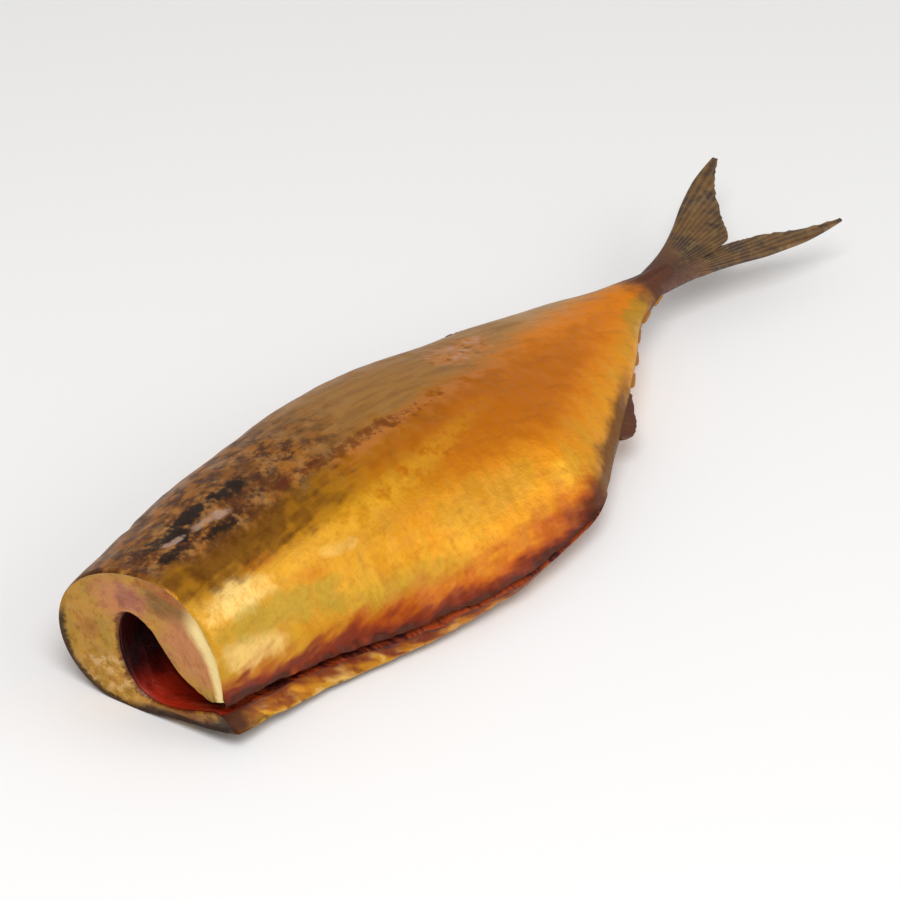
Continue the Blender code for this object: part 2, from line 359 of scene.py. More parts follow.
def skinFinish():
    look = skinLook
    skin = Finish("smoked_mackerel_skin", **{
        "IOR": 1.45, "Coat Roughness": 0.14, "Coat IOR": 1.45, "Specular IOR Level": 0.38,
        "Specular Tint": (1.0, 0.80, 0.48, 1.0)})
    x, arc, turn = skin.attribute("fishX"), skin.attribute("fishArc"), skin.attribute("fishTurn")
    toSlit, toBelly, inBack = skin.attribute("toSlit"), skin.attribute("toBelly"), skin.attribute("inBack")
    flat = skin.point(x, arc)
    broad = skin.noise(flat, 0.045, 3, 0.55)
    mid = skin.noise(flat, 0.16, 4, 0.6)
    fine = skin.noise(flat, 0.6, 4, 0.6)
    upright = skin.noise(skin.point(x, arc * 0.3), 0.17, 4, 0.6, 0.5)
    lengthwise = skin.noise(skin.point(x * 0.2, arc), 0.35, 3, 0.55)
    stray, crumbs = mid - 0.5, fine - 0.5
    drift = skin.noise(skin.point(x, arc, 5.0), 0.19, 1.5, 0.5) - 0.5
    aboveSlit = skin.between(skin.attribute("belowSlit"), 0.6, 0.4)

    # flanks: gold, tan towards the belly, deep amber behind, olive by the cut and painted cream highlights by
    # the cut
    colour = skin.mix(skin.between(x + (broad - 0.5) * 90, 60, 165), look["gold"], look["rearOrange"])
    bellySide = skin.between(turn + stray * 0.16, 0.6, 0.78)
    colour = skin.mix(bellySide * skin.between(x, 60, 100) * 0.75, colour, look["tanGold"])
    amber = skin.patch(x, turn, (134, 0.54), (62, 0.12), 0.0003, stray * 2.2, 0.8)
    colour = skin.mix(amber * 0.85, colour, look["amber"])
    pale = skin.between(x + (broad - 0.5) * 70 + stray * 40, 70, 8)
    pale = pale * skin.between(turn + stray * 0.2, 0.54, 0.7)
    colour = skin.mix(pale * 0.36, colour, look["paleGold"])
    mottle = skin.noise(skin.point(x, arc, 9.0), 0.1, 4, 0.6, 0.4)
    colour = skin.mix(skin.between(mottle, 0.46, 0.66) * bellySide * 0.35, colour, look["olive"])
    colour = skin.mix(skin.between(upright, 0.46, 0.68) * bellySide * 0.35, colour, look["streakAndHighlight"])
    colour = skin.mix(skin.between(upright, 0.46, 0.3) * bellySide * 0.3, colour, look["amber"])
    # the cream patches and the yellow patch at x 134 are painted highlights; the olive and amber ones are the
    # skin's own tone
    for name, at, size, amount in flankPatches:
        spread = skin.patch(x, turn, at, size, 0.0, stray * 3 + (mottle - 0.5) * 4, 0.75)
        colour = skin.mix(spread * amount, colour, look[name])
    # a painted highlight along the crest of the upper flank, in the yellow colour
    ridgeHighlight = skin.patch(x, turn, (66, 0.61), (60, 0.035), -0.0015, stray * 4, 0.8)
    colour = skin.mix(ridgeHighlight * skin.between(mid + crumbs * 0.4, 0.34, 0.66) * 0.75, colour, look["streakAndHighlight"])
    colour = skin.mix(skin.between(lengthwise, 0.52, 0.72) * 0.16, colour, look["smokeBrownAndShade"])
    colour = skin.mix(skin.between(fine, 0.5, 0.72) * 0.25, colour, look["amber"])

    # under the back's edge: a dark brown patch in front, partly painted shade, a painted shade band, and a
    # pink-tan border with a broken red line behind it
    smokeBrownAndShade = skin.patch(x, turn, (27, 0.55), (40, 0.085), -0.0008, drift * 3 + (lengthwise - 0.5) * 3, 0.8)
    colour = skin.mix(smokeBrownAndShade * skin.between(mid, 0.3, 0.6, 0.9, 0.66), colour, look["smokeBrownAndShade"])
    # a painted shade band just under the dark back's edge, fading out between x 110 and 180
    shade = skin.between(inBack + drift * 14, -13, 0) * skin.between(x, 180, 110)
    colour = skin.mix(shade * 0.36, colour, look["smokeBrownAndShade"])
    border = skin.between(abs(inBack + 2 + stray * 7), 3.4, 0.5) * skin.between(x + stray * 20, 60, 82)
    border = border * skin.between(x + stray * 20, 166, 140) * skin.between(mid, 0.4, 0.52)
    colour = skin.mix(border * 0.6, colour, look["pinkTan"])

    # back: tan cells in a dark net, ink blots and pale glints in front, plain grey behind
    sharpness = skin.between(x, 120, 190, 2.5, 6.0)
    backness = skin.between((inBack + stray * 8 + crumbs * 3) / sharpness, -1.0, 1.0)
    back = skin.mix(skin.between(x + (broad - 0.5) * 30, 140, 200), look["grey"], look["paleGrey"])
    back = skin.mix(skin.between(lengthwise, 0.42, 0.66) * 0.3, back, look["smokeBrownAndShade"])
    front = skin.between(x + (broad - 0.5) * 40 + stray * 40, 100, 62)
    wavy = skin.noise(skin.point(x * 0.7, arc), 0.27, 3, 0.6, 0.25)
    marble = skin.mix(skin.between(wavy + crumbs * 0.3, 0.36, 0.64), look["marbleLine"], look["marble"])
    marble = skin.mix(skin.between(mid + crumbs * 0.5, 0.5, 0.66) * 0.3, marble, look["paleGrey"])
    marble = skin.mix(skin.between(broad + drift * 0.4, 0.46, 0.62) * 0.4, marble, look["marbleLine"])
    back = skin.mix(front * 0.9, back, marble)
    sooty = skin.patch(x, turn, (24, 0.42), (32, 0.085), 0, stray * 4 + drift * 3, 0.8)
    back = skin.mix(sooty * skin.between(mid + crumbs * 0.6, 0.66, 0.4) * 0.75, back, look["soot"])
    inky = 0.0
    for at, size in inkBlots:
        inky = skin.patch(x, turn, at, size, 0, stray * 4 + crumbs * 3, 0.8) + inky
    back = skin.mix(inky, back, look["ink"])
    bumpZone = skin.patch(x, turn, (145, 0.32), (13, 0.07), 0, stray * 3, 0.7)
    back = skin.mix(bumpZone * 0.5, back, look["pinkTan"])
    specks = skin.noise(skin.point(x, arc, 7.0), 0.3, 3, 0.6)
    back = skin.mix(bumpZone * skin.between(specks, 0.46, 0.34) * 0.6, back, look["smokeBrownAndShade"])
    glints = bumpZone * skin.between(specks, 0.5, 0.66) * 0.9
    for at, size in paleGlints:
        glints = skin.patch(x, turn, at, size, 0.001, crumbs * 3 + drift * 5, 0.78) + glints
    back = skin.mix(glints * 0.66, back, look["glint"])
    colour = skin.mix(backness, colour, back)
    redLine = skin.patch(x, turn, (80, 0.455), (28, 0.016), -0.0003, stray * 9 + crumbs * 6, 0.75)
    colour = skin.mix(redLine * 0.6, colour, look["redLine"])

    # belly: orange-brown and dark red along the slit, dried blood with painted shade darkest at its edge,
    # gold on the flap below with painted cream highlights, a dry crust behind the vent
    below = (1 - aboveSlit) * skin.between(x, 150, 110) * skin.between(toSlit + stray * 12, 30, 16)
    colour = skin.mix(below * skin.between(mid, 0.36, 0.52) * 0.9, colour, look["flapGold"])
    sideways = skin.noise(skin.point(x * 0.4, arc * 1.3, 5.0), 0.2, 2.5, 0.55) - 0.5
    spots = skin.between(drift + crumbs * 0.5 + stray * 0.5, 0.02, 0.16) * below
    colour = skin.mix(spots * 0.7, colour, look["smokeBrownAndShade"])
    # painted cream highlights on the flap below the slit
    colour = skin.mix(skin.between(drift - stray, -0.02, -0.14) * below * 0.5, colour, look["cream"])
    near = (toSlit + sideways * 13 + (broad - 0.5) * 8) / skin.between(x, 30, 95, 7.5, 12.5)
    orange = skin.between(near, 1.1, 0.2) * (aboveSlit * 0.4 + 0.6)
    colour = skin.mix(orange * 0.9, colour, look["slitOrange"])
    nearest = (toSlit + sideways * 13 + crumbs * 1.5) / skin.between(x, 40, 100, 1.25, 1.0)
    red = skin.between(nearest, 4.4, 1.2)
    colour = skin.mix(red * 0.85, colour, look["slitRed"])
    # painted shade in the slit's gap, over dried blood, darkest right at the edge
    dark = skin.between(toSlit + crumbs * 1.6 + sideways * 6, 1.6, 0.2)
    colour = skin.mix(dark * 0.8, colour, look["slitShadeAndBlood"])
    underFlap = below * skin.between(toSlit + crumbs * 4 + sideways * 8, 6, 9)
    colour = skin.mix(underFlap * 0.75, colour, look["smokeBrownAndShade"])
    tip = (1 - aboveSlit) * skin.between(x + crumbs * 3 + drift * 8, 12, 3) * skin.between(toBelly, 26, 12)
    colour = skin.mix(tip * 0.9, colour, look["crust"])
    driedFrom = skin.between(x, 130, 160, 0.84, 0.79)
    dried = skin.between(turn + crumbs * 0.02 + drift * 0.12 - driedFrom, -0.03, 0.07)
    dried = dried * skin.between(x + drift * 20, 118, 140) * skin.between(x + drift * 14, 196, 174)
    colour = skin.mix(dried * 0.85, colour, look["crust"])
    lowEdge = skin.between(toBelly + crumbs * 2.5, 3.4, 1.0) * skin.between(x, 160, 180)
    colour = skin.mix(lowEdge * 0.6, colour, look["smokeBrownAndShade"])
    rim = skin.between(x + crumbs * 1.4 + stray * 1.4, 1.7, 0.4) * skin.between(arc + stray * 30, 34, 18)
    colour = skin.mix(rim * 0.75, colour, look["crust"])
    root = skin.between(x + drift * 10 + crumbs * 4, 213, 226)
    colour = skin.mix(root * 0.97, colour, look["plum"])

    scales = skin.cells(skin.point(x, arc * 1.15), 0.85, "SMOOTH_F1", 0.75)
    grain = skin.noise(flat, 2.4, 2, 0.5)
    height = scales * 0.3 + grain * 0.25 + fine * 0.4 + mid * 0.9 + upright * 0.4
    dull = backness * 0.2 + dried * 0.3 + red * 0.2 + root * 0.2
    skin.feed(colour=colour,
              roughness=skin.between(fine, 0.3, 0.7, 0.28, 0.44) + dull,
              metallic=(1 - backness * 0.85) * (1 - red) * (1 - dried) * (1 - root) * 0.42,
              coat=skin.between(mid, 0.3, 0.7, 0.0, 0.2),
              normal=skin.bump(height, 0.32, 0.0007))
    return skin.material


skinMesh = {
    "stations": 290,
    "cutStations": 13,  # of them, those within cutReach of the cut
    "cutReach": 5,
    "ring": 280,
    "bumps": ((0.45, 24, 1), (0.16, 7, 2), (0.05, 2.2, 3)),  # height, size and seed
    "bellyHollow": 1.3,
    "lateralGroove": 0.22,
    "pucker": 0.55,
    "muscle": 0.07,
    "musclePitch": 4.8,
    "folds": 0.5,
    "roughBack": 0.45,
    "keel": 0.7,
    "rimCurl": 0.5,
    "rimWidth": 1.6,
    "inset": 0.55,
    "lipWidth": 1.2,
    "endReach": 5.5,
    "endSteps": (0.35, 0.65, 0.88, 1.0),
    # the dark back's edge: x, and the share of the way round from the back to the belly
    "darkEdge": ((0, 0.50), (20, 0.52), (49, 0.50), (65, 0.475), (90, 0.44), (121, 0.42), (156, 0.40),
                 (182, 0.37), (214, 0.33), (236, 0.32)),
}


def stationsAlong():
    s = skinMesh
    near = np.linspace(0, s["cutReach"], s["cutStations"] + 1)[:-1]
    far = np.linspace(s["cutReach"], form["length"], s["stations"] - s["cutStations"])
    return np.concatenate([near, far])


def skinRelief(x, turn, points, toSlit):
    # millimetres out of the plain form; the inset keeps it all inside the solid's box
    s = skinMesh
    out = sum(height * lumps(points, size, seed) for height, size, seed in s["bumps"])
    share = np.abs(turn) / math.pi
    opened = ease(8, 35, x) * (1 - ease(110, 150, x))
    out -= s["bellyHollow"] * hump(share, 0.72, 0.13) * opened
    line = 0.5 + 0.012 * np.sin(x / 9.0)
    girth = follow(form["thickness"], x) + halfDepth(x) * 1.2
    out -= s["lateralGroove"] * hump((share - line) * girth, 0, 0.7) * ease(4, 20, x)
    pucker = lumps(points * (1, 0.4, 0.4), 3.4, 4) * np.exp(-toSlit / 4.5)
    out += s["pucker"] * pucker * (1 - ease(150, 185, x))
    muscle = np.sin((x + 26 * np.abs(share - 0.52)) * 2 * math.pi / s["musclePitch"] + lumps(points, 14, 6))
    out += s["muscle"] * muscle * hump(share, 0.62, 0.2) * ease(15, 60, x) * (1 - ease(190, 220, x))
    folds = np.maximum(0, lumps(points * (1, 0.45, 0.45), 6.5, 5)) * ease(60, 20, x) * (share < 0.5)
    out -= s["folds"] * folds
    out += s["roughBack"] * lumps(points, 4.5, 14) * hump(x, 146, 12) * hump(share, 0.3, 0.07)
    keel = hump(share, 0.44, 0.05) + hump(share, 0.56, 0.05)
    out += s["keel"] * keel * ease(214, 232, x)
    rim = np.clip(1 - x / s["rimWidth"], 0, 1) ** 2
    return out * (1 - rim) - s["rimCurl"] * rim - s["inset"]


def slitTurns(x):
    # the turns where the skin starts and ends at x: the slit's torn lips, or a closed seam behind the vent
    isOpen = x < form["ventX"]
    above = float(follow(form["slitAboveEdge"], x))
    gap = float(follow(form["slitGap"], x)) / 2 if isOpen else 0.0
    torn = [lumps((x, 40.0 * k, 0), 7, 12) * 0.8 + lumps((x, 40.0 * k, 9), 2.3, 13) * 0.4 for k in (1, 2)]
    torn = [float(t * (1 - ease(110, 146, x))) for t in torn]
    high = turnAboveBelly(x, above + gap + torn[0])
    low = turnAboveBelly(x, above - gap + min(0.3, torn[1])) if isOpen else high
    return high, low - 2 * math.pi


def bodyGrids():
    s = skinMesh
    xs = stationsAlong()
    turns = np.array([np.linspace(*slitTurns(x), s["ring"]) for x in xs])
    x = np.repeat(xs[:, None], s["ring"], axis=1)
    along, across = skinSection(x, turns)
    plain = asItLies(x, along, across)
    # distance round the skin from the middle of the back, and from the slit
    steps = np.hypot(np.diff(along, axis=1), np.diff(across, axis=1))
    run = np.concatenate([np.zeros((len(xs), 1)), np.cumsum(steps, axis=1)], axis=1)
    backRun = np.array([np.interp(0, -row, r) for row, r in zip(turns, run)])
    arc = backRun[:, None] - run
    toSlit = np.minimum(run, run[:, -1:] - run)
    relief = skinRelief(x, turns, plain, toSlit + np.maximum(0, x - form["ventX"]))
    # out of the section along its normal
    dAlong, dAcross = np.gradient(along, axis=1), np.gradient(across, axis=1)
    length = np.maximum(np.hypot(dAlong, dAcross), 1e-9)
    offLip = ease(0, s["lipWidth"], toSlit)
    relief = relief * offLip - s["inset"] * (1 - offLip) * (x > form["ventX"])
    along, across = along - dAcross / length * relief, across + dAlong / length * relief
    return xs, x, turns, along, across, arc, toSlit


skinFinishMade = skinFinish()
print("skin finish ready")
xs, gridX, turns, along, across, arc, toSlit = bodyGrids()
skinPoints = asItLies(gridX, along, across)

# the body's end, rounded off inside the tail's root
lastRing = skinPoints[-1]
centre = lastRing.mean(axis=0)
endRings = []
for step in skinMesh["endSteps"]:
    ring = centre + (lastRing - centre) * math.sqrt(1 - step * step * 0.98)
    endRings.append(ring + np.array([skinMesh["endReach"] * step, 0, 0]))
skinRows = np.concatenate([skinPoints, np.array(endRings)])


def extended(values):
    return np.concatenate([values, np.repeat(values[-1:], len(endRings), axis=0)])


# for the skin's colours: the share of the way round, and millimetres to the belly and into the dark back
bellyRun = np.abs(np.abs(np.where(turns < -math.pi, turns + 2 * math.pi, turns)) - math.pi)
toBelly = bellyRun * follow(form["thickness"], gridX) / 2
fishShare = np.abs(turns) / math.pi
fishShare = np.where(turns < -math.pi, 2 - fishShare, fishShare)
inBack = follow(skinMesh["darkEdge"], gridX) - fishShare
inBack = inBack * (follow(form["thickness"], gridX) + 2 * halfDepth(gridX)) * 0.8
belowSlit = (turns < -math.pi / 2).astype(float)
makePiece("skin", placed(skinRows.reshape(-1, 3)), gridFaces(*skinRows.shape[:2]), skinFinishMade, {
    "fishX": extended(gridX), "fishArc": extended(arc), "fishTurn": extended(fishShare),
    "inBack": extended(inBack), "belowSlit": extended(belowSlit),
    "toSlit": extended(toSlit + np.maximum(0, gridX - form["ventX"] + 6) * 3), "toBelly": extended(toBelly)})

# The cut at the head end, and the cavity's lining behind it.
fleshLook = {
    "tan": tone(196, 138, 44),
    "khaki": tone(176, 130, 26),
    "ochre": tone(166, 102, 14),
    "pink": tone(196, 122, 76),
    "mauve": tone(158, 88, 70),
    "cream": tone(226, 182, 122),
    "olive": tone(112, 76, 28),
    "orange": tone(176, 92, 28),
    "brown": tone(120, 62, 24),
    "rim": tone(48, 28, 12),
    "rimHighlightGold": tone(255, 226, 152),
    "blood": tone(86, 18, 10),
}
# the colour, the place along and across the cut, the size and the amount
fleshPlaces = (
    ("olive", (-4, 17), (9, 5), 0.8), ("pink", (-13, 9), (10, 9), 0.85),
    ("pink", (8, 12), (9, 7), 0.85), ("mauve", (6, 14), (5, 3.5), 0.8),
    ("orange", (-6, 21), (11, 2.6), 0.75), ("ochre", (16, -2), (4, 4), 0.7),
    ("brown", (-13, -13), (12, 6), 0.8), ("rim", (-24, -6), (7, 8), 0.9))


def fleshFinish():
    look = fleshLook
    flesh = Finish("smoked_mackerel_flesh", **{"IOR": 1.42, "Specular IOR Level": 0.4})
    along, across = flesh.attribute("cutAlong"), flesh.attribute("cutAcross")
    toRim, toCavity = flesh.attribute("toRim"), flesh.attribute("toCavity")
    where = flesh.point(along, across)
    broad = flesh.noise(where, 0.13, 3, 0.55)
    mid = flesh.noise(where, 0.32, 4, 0.6)
    fine = flesh.noise(where, 1.0, 4, 0.62)
    fibre = flesh.noise(flesh.point(toRim * 2.2, along * 0.45, across * 0.45), 0.75, 3, 0.55)
    stray, crumbs = mid - 0.5, fine - 0.5
    colour = flesh.mix(flesh.between(broad, 0.38, 0.62), look["tan"], look["khaki"])
    for name, at, size, amount in fleshPlaces:
        spread = flesh.patch(along, across, at, size, 0.0, stray * 2.4, 0.65)
        colour = flesh.mix(spread * amount, colour, look[name])
    creamy = flesh.between(mid + crumbs * 0.3, 0.47, 0.62)
    colour = flesh.mix(creamy * flesh.patch(along, across, (7, -13), (10, 7)) * 0.6, colour, look["cream"])
    colour = flesh.mix(flesh.between(fibre, 0.5, 0.76) * 0.14, colour, look["cream"])
    colour = flesh.mix(flesh.between(fibre, 0.46, 0.28) * 0.16, colour, look["olive"])
    colour = flesh.mix(flesh.between(mid + crumbs * 0.5, 0.5, 0.36) * 0.3, colour, look["brown"])
    stain = flesh.between(toCavity + stray * 3 + crumbs, 1.6, 0.3)
    colour = flesh.mix(stain * 0.85, colour, look["blood"])
    # a painted highlight along the cut edge of the upper flap, where the skin begins
    upperFlap = flesh.between(across, -4, 3) * flesh.between(along, -8, -14)
    rimHighlight = flesh.between(toRim + crumbs * 2 + stray * 3, 7.6, 4.4) * upperFlap
    colour = flesh.mix(rimHighlight * 0.95, colour, look["rimHighlightGold"])
    ragged = toRim + crumbs * 1.4 + stray * 1.6
    skinEdge = flesh.between(ragged, 1.8, 0.6) * flesh.between(across + along * 0.4, 14, 6)
    colour = flesh.mix(skinEdge * 0.92, colour, look["rim"])
    lowRim = flesh.between(ragged, 3.8, 1.6) * flesh.between(along, 6, -6) * flesh.between(across, -2, -8)
    colour = flesh.mix(lowRim * 0.85, colour, look["rim"])
    height = fibre * 0.4 + fine * 0.4 + mid * 0.8
    flesh.feed(colour=colour, roughness=flesh.between(fine, 0.3, 0.7, 0.34, 0.52),
               coat=flesh.between(mid, 0.4, 0.6, 0.0, 0.3), normal=flesh.bump(height, 0.5, 0.0009))
    return flesh.material


liningLook = {
    "maroon": tone(58, 10, 12),
    "dark": tone(30, 5, 8),
    "red": tone(176, 44, 20),
    "pale": tone(120, 52, 38),
    "lip": tone(168, 66, 10),
    "lipDark": tone(70, 16, 6),
}


def liningFinish():
    look = liningLook
    lining = Finish("cavity_lining", **{"IOR": 1.42, "Coat Roughness": 0.45})
    x, deep = lining.attribute("fishX"), lining.attribute("deep")
    upper = lining.attribute("upperWall")
    where = lining.point(x, deep * 30, upper * 20)
    broad = lining.noise(where, 0.12, 3, 0.55)
    fine = lining.noise(where, 0.6, 4, 0.6)
    colour = lining.mix(lining.between(broad, 0.35, 0.65), look["maroon"], look["dark"])
    red = lining.between(broad + (1 - upper) * 0.25, 0.5, 0.75)
    red = red * lining.between(x, 40, 5) * lining.between(deep, 0.35, 0.6)
    colour = lining.mix(red, colour, look["red"])
    ribs = lining.between(lining.attribute("rib") + (fine - 0.5) * 0.5, 0.55, 0.95)
    colour = lining.mix(ribs * 0.2, colour, look["pale"])
    lip = lining.between(deep + (fine - 0.5) * 0.12, 0.74, 0.86) * lining.between(x + (fine - 0.5) * 6, 0, 6)
    lipColour = lining.mix(lining.between(broad * 0.5 + fine * 0.5, 0.42, 0.56), look["lipDark"], look["lip"])
    colour = lining.mix(lip * 0.95, colour, lipColour)
    lining.feed(colour=colour, roughness=lining.between(fine, 0.3, 0.7, 0.3, 0.5) + lip * 0.3,
                coat=lining.between(broad, 0.3, 0.7, 0.05, 0.4) * (1 - lip),
                normal=lining.bump(fine + broad, 0.5, 0.0008))
    return lining.material


insideMesh = {
    "loop": 200,
    "faceRows": 24,
    "recess": 0.55,
    "inwardRoll": 1.3,
    "ringPitch": 3.6,
    "ringHeight": 0.1,
    "bumps": ((0.35, 6, 7), (0.12, 1.8, 8)),  # height, size and seed
    "ribPitch": 5.6,
    "ribHeight": 0.22,
}


def cavityLoop(x, lip, count):
    # once round the cavity at x, from the upper lip over the roof to the lower lip
    half = count // 2
    deepDown, deepUp = np.linspace(1, 0, half, endpoint=False), np.linspace(0, 1, count - half)
    upper = cavitySection(x, deepDown[::-1], -1 * np.ones(half), lip[0])[::-1]
    lower = cavitySection(x, deepUp, np.ones(count - half), lip[1])
    return np.concatenate([upper, lower]), np.concatenate([deepDown, deepUp])


def cutFace():
    s = insideMesh
    count = skinMesh["ring"]
    outer = np.stack([along[0], across[0]], axis=1)
    inner, _ = cavityLoop(0.0, (outer[0], outer[-1]), count)
    v = np.linspace(0, 1, s["faceRows"])[:, None, None]
    section = outer * (1 - v) + inner * v
    span = np.linalg.norm(inner - outer, axis=1)
    toRim, toCavity = v[..., 0] * span, (1 - v[..., 0]) * span
    a, c = section[..., 0], section[..., 1]
    spot = stacked(a, c, np.zeros_like(a))
    rings = np.sin(toRim * 2 * math.pi / s["ringPitch"] + 2.5 * lumps(spot, 9, 6))
    bumps = sum(height * lumps(spot, size, seed) for height, size, seed in s["bumps"])
    x = s["recess"] * ease(0, 1.2, toRim)
    x = x + s["ringHeight"] * rings * ease(0.5, 2, toRim) * ease(0.3, 2, toCavity)
    x = x + bumps * ease(0, 1.5, toRim)
    x = x + s["inwardRoll"] * (1 - ease(0, 1.6, toCavity)) ** 2
    x = np.maximum(0.0, x)
    points = asItLies(np.zeros_like(a), a, c)
    points[..., 0] += x
    return points, a, c, toRim, toCavity


def cavityWall():
    s = insideMesh
    inside = [k for k in range(len(xs)) if xs[k] < form["ventX"]]
    points, fishX, deeps, uppers, ribs = [], [], [], [], []
    side = np.concatenate([np.ones(s["loop"] // 2), np.zeros(s["loop"] - s["loop"] // 2)])
    for k in inside:
        x = xs[k]
        lipPair = [np.array((along[k, end], across[k, end])) for end in (0, -1)]
        loop, deep = cavityLoop(x, lipPair, s["loop"])
        step = np.gradient(loop, axis=0)
        stepLength = np.maximum(np.linalg.norm(step, axis=1), 1e-9)
        out = np.stack([step[:, 1], -step[:, 0]], axis=1) / stepLength[:, None]
        phase = (x + 9 * deep) / s["ribPitch"] * 2 * math.pi
        rib = (0.5 + 0.5 * np.cos(phase)) ** 3 * ease(0.1, 0.35, deep) * ease(0.95, 0.75, deep)
        away = s["ribHeight"] * rib * ease(0, 8, x) * ease(140, 110, x)
        rolled = s["inwardRoll"] * (1 - ease(0, 2.5, x)) * (1 - deep**8)
        loop = loop + out * away[:, None]
        laid = asItLies(np.full(len(loop), x), loop[:, 0], loop[:, 1])
        laid[:, 0] += rolled
        points.append(laid)
        fishX.append(np.full(len(loop), x))
        deeps.append(deep)
        uppers.append(side)
        ribs.append(rib)
    return np.array(points), np.array(fishX), np.array(deeps), np.array(uppers), np.array(ribs)


facePoints, cutAlong, cutAcross, toRim, toCavity = cutFace()
makePiece("cutFlesh", placed(facePoints.reshape(-1, 3)), gridFaces(*facePoints.shape[:2]), fleshFinish(),
          {"cutAlong": cutAlong, "cutAcross": cutAcross, "toRim": toRim, "toCavity": toCavity})
wallPoints, wallX, wallDeep, wallUpper, wallRib = cavityWall()
makePiece("cavityLining", placed(wallPoints.reshape(-1, 3)), gridFaces(*wallPoints.shape[:2], flip=True),
          liningFinish(), {"fishX": wallX, "deep": wallDeep, "upperWall": wallUpper, "rib": wallRib})


# Fins: the forked tail, the dried remains of the second back fin and the anal fin, and the finlets.
finLook = {
    "brown": tone(114, 80, 40),
    "dark": tone(56, 34, 20),
    "straw": tone(142, 112, 64),
    "plum": tone(90, 52, 44),
    "stump": tone(84, 38, 12),
    "finlet": tone(170, 112, 34),
}


def finFinish():
    look = finLook
    fin = Finish("dried_fin", IOR=1.45)
    ray, root = fin.attribute("ray"), fin.attribute("root")
    where = fin.point(fin.attribute("fishX"), fin.attribute("fishY"))
    broad, fine = fin.noise(where, 0.12, 3, 0.55), fin.noise(where, 0.8, 3, 0.6)
    blotch = fin.noise(where, 0.26, 3, 0.6)
    colour = fin.mix(fin.between(broad, 0.35, 0.65), look["brown"], look["dark"])
    colour = fin.mix(fin.between(blotch, 0.5, 0.66) * 0.5, colour, look["straw"])
    colour = fin.mix(fin.between(ray + (fine - 0.5) * 0.8, 0.4, 1.0) * 0.3, colour, look["straw"])
    colour = fin.mix(fin.between(ray + (fine - 0.5) * 0.5, 0.3, 0.02) * 0.35, colour, look["dark"])
    colour = fin.mix(fin.between(root + (broad - 0.5) * 0.5, 0.35, 0.05) * 0.8, colour, look["plum"])
    colour = fin.mix(fin.between(root, 0.95, 1.1) * 0.8, colour, look["stump"])
    colour = fin.mix(fin.between(root, 1.95, 2.1) * 0.85, colour, look["finlet"])
    height = ray * 0.8 + fine * 0.3
    fin.feed(colour=colour, roughness=fin.between(fine, 0.3, 0.7, 0.38, 0.6),
             coat=fin.between(broad, 0.3, 0.7, 0.0, 0.25), normal=fin.bump(height, 0.45, 0.0006))
    return fin.material


finMade = finFinish()
tailFin = {
    # root to tip: the leading edge's x and y, the fork edge's x and y, the middle's height, the thickness
    "upper": ((228, 15.6, 229, 8.5, 16.0, 6.0), (244, 18.6, 246, 8.2, 16.4, 3.4),
              (258, 23.4, 264.5, 8.2, 16.8, 2.4), (272, 29.4, 275.5, 17.0, 17.4, 2.0),
              (286, 34.2, 286.5, 27.0, 18.0, 1.7), (298, 36.4, 299.2, 34.8, 18.6, 1.3)),
    "lower": ((228, 7.4, 229, 14.5, 16.0, 6.0), (244, 4.4, 246, 13.0, 15.8, 3.4),
              (257, 0.9, 264.9, 8.6, 15.6, 2.4), (272, -4.6, 276.5, 4.6, 15.2, 2.0),
              (288, -8.4, 290, -2.8, 15.4, 1.7), (302, -9.8, 302.6, -8.3, 16.0, 1.3)),
    "stations": 110,
    "ring": 170,
    "focus": (226.0, 12.0),
    "rayPitch": 2.1,
    "rayHeight": 0.16,
    "warp": 0.45,
    "fray": 1.1,
}


def tailLobe(rows, seed):
    t = tailFin
    at = np.linspace(0, len(rows) - 1, t["stations"])[:, None]
    leadX, leadY, forkX, forkY, height, thick = (follow(tuple(enumerate(c)), at) for c in zip(*rows))
    angle = np.linspace(0, 2 * math.pi, t["ring"], endpoint=False)[None, :]
    chord = (1 - np.cos(angle)) / 2
    share = at / (len(rows) - 1)
    torn = t["fray"] * np.abs(lumps(stacked(share * 40, seed * 5.0, 0), 1.3, 9)) * ease(0.42, 0.6, share)
    long = np.hypot(forkX - leadX, forkY - leadY)
    reach = chord * (1 - np.minimum(0.35, torn / np.maximum(long, 0.5)) * chord**3)
    x, y = leadX + (forkX - leadX) * reach, leadY + (forkY - leadY) * reach
    fan = np.degrees(np.arctan2(y - t["focus"][1], x - t["focus"][0]))
    ray = 0.5 + 0.5 * np.cos(fan * 2 * math.pi / t["rayPitch"])
    half = thick / 2 * (1 - 0.62 * chord)
    top = np.sin(angle)
    z = height + half * np.sign(top) * np.abs(top) ** 0.6
    away = ease(232, 246, x)
    z = z + np.sign(top) * t["rayHeight"] * (ray - 0.6) * away * np.abs(top) ** 0.3
    z = z + t["warp"] * away * lumps(stacked(x, y, 0 * x), 13, seed)
    points = stacked(x, y, z)
    shares = np.broadcast_to(share, x.shape)
    return points, ray, shares


def joinGrids(grids):
    points, faces = [], []
    for grid in grids:
        rows, columns = grid.shape[:2]
        start = sum(len(p) for p in points)
        points.append(grid.reshape(-1, 3))
        faces += gridFaces(rows, columns, start, flip=True, closed=True)
        faces.append(tuple(start + c for c in range(columns)))
        faces.append(tuple(start + (rows - 1) * columns + c for c in range(columns))[::-1])
    return np.concatenate(points), faces


def makeFins(name, made):
    points, faces = joinGrids([m[0] for m in made])
    ray = np.concatenate([m[1].ravel() for m in made])
    root = np.concatenate([m[2].ravel() for m in made])
    makePiece(name, placed(points), faces, finMade,
              {"fishX": points[:, 0], "fishY": points[:, 1], "ray": ray, "root": root})


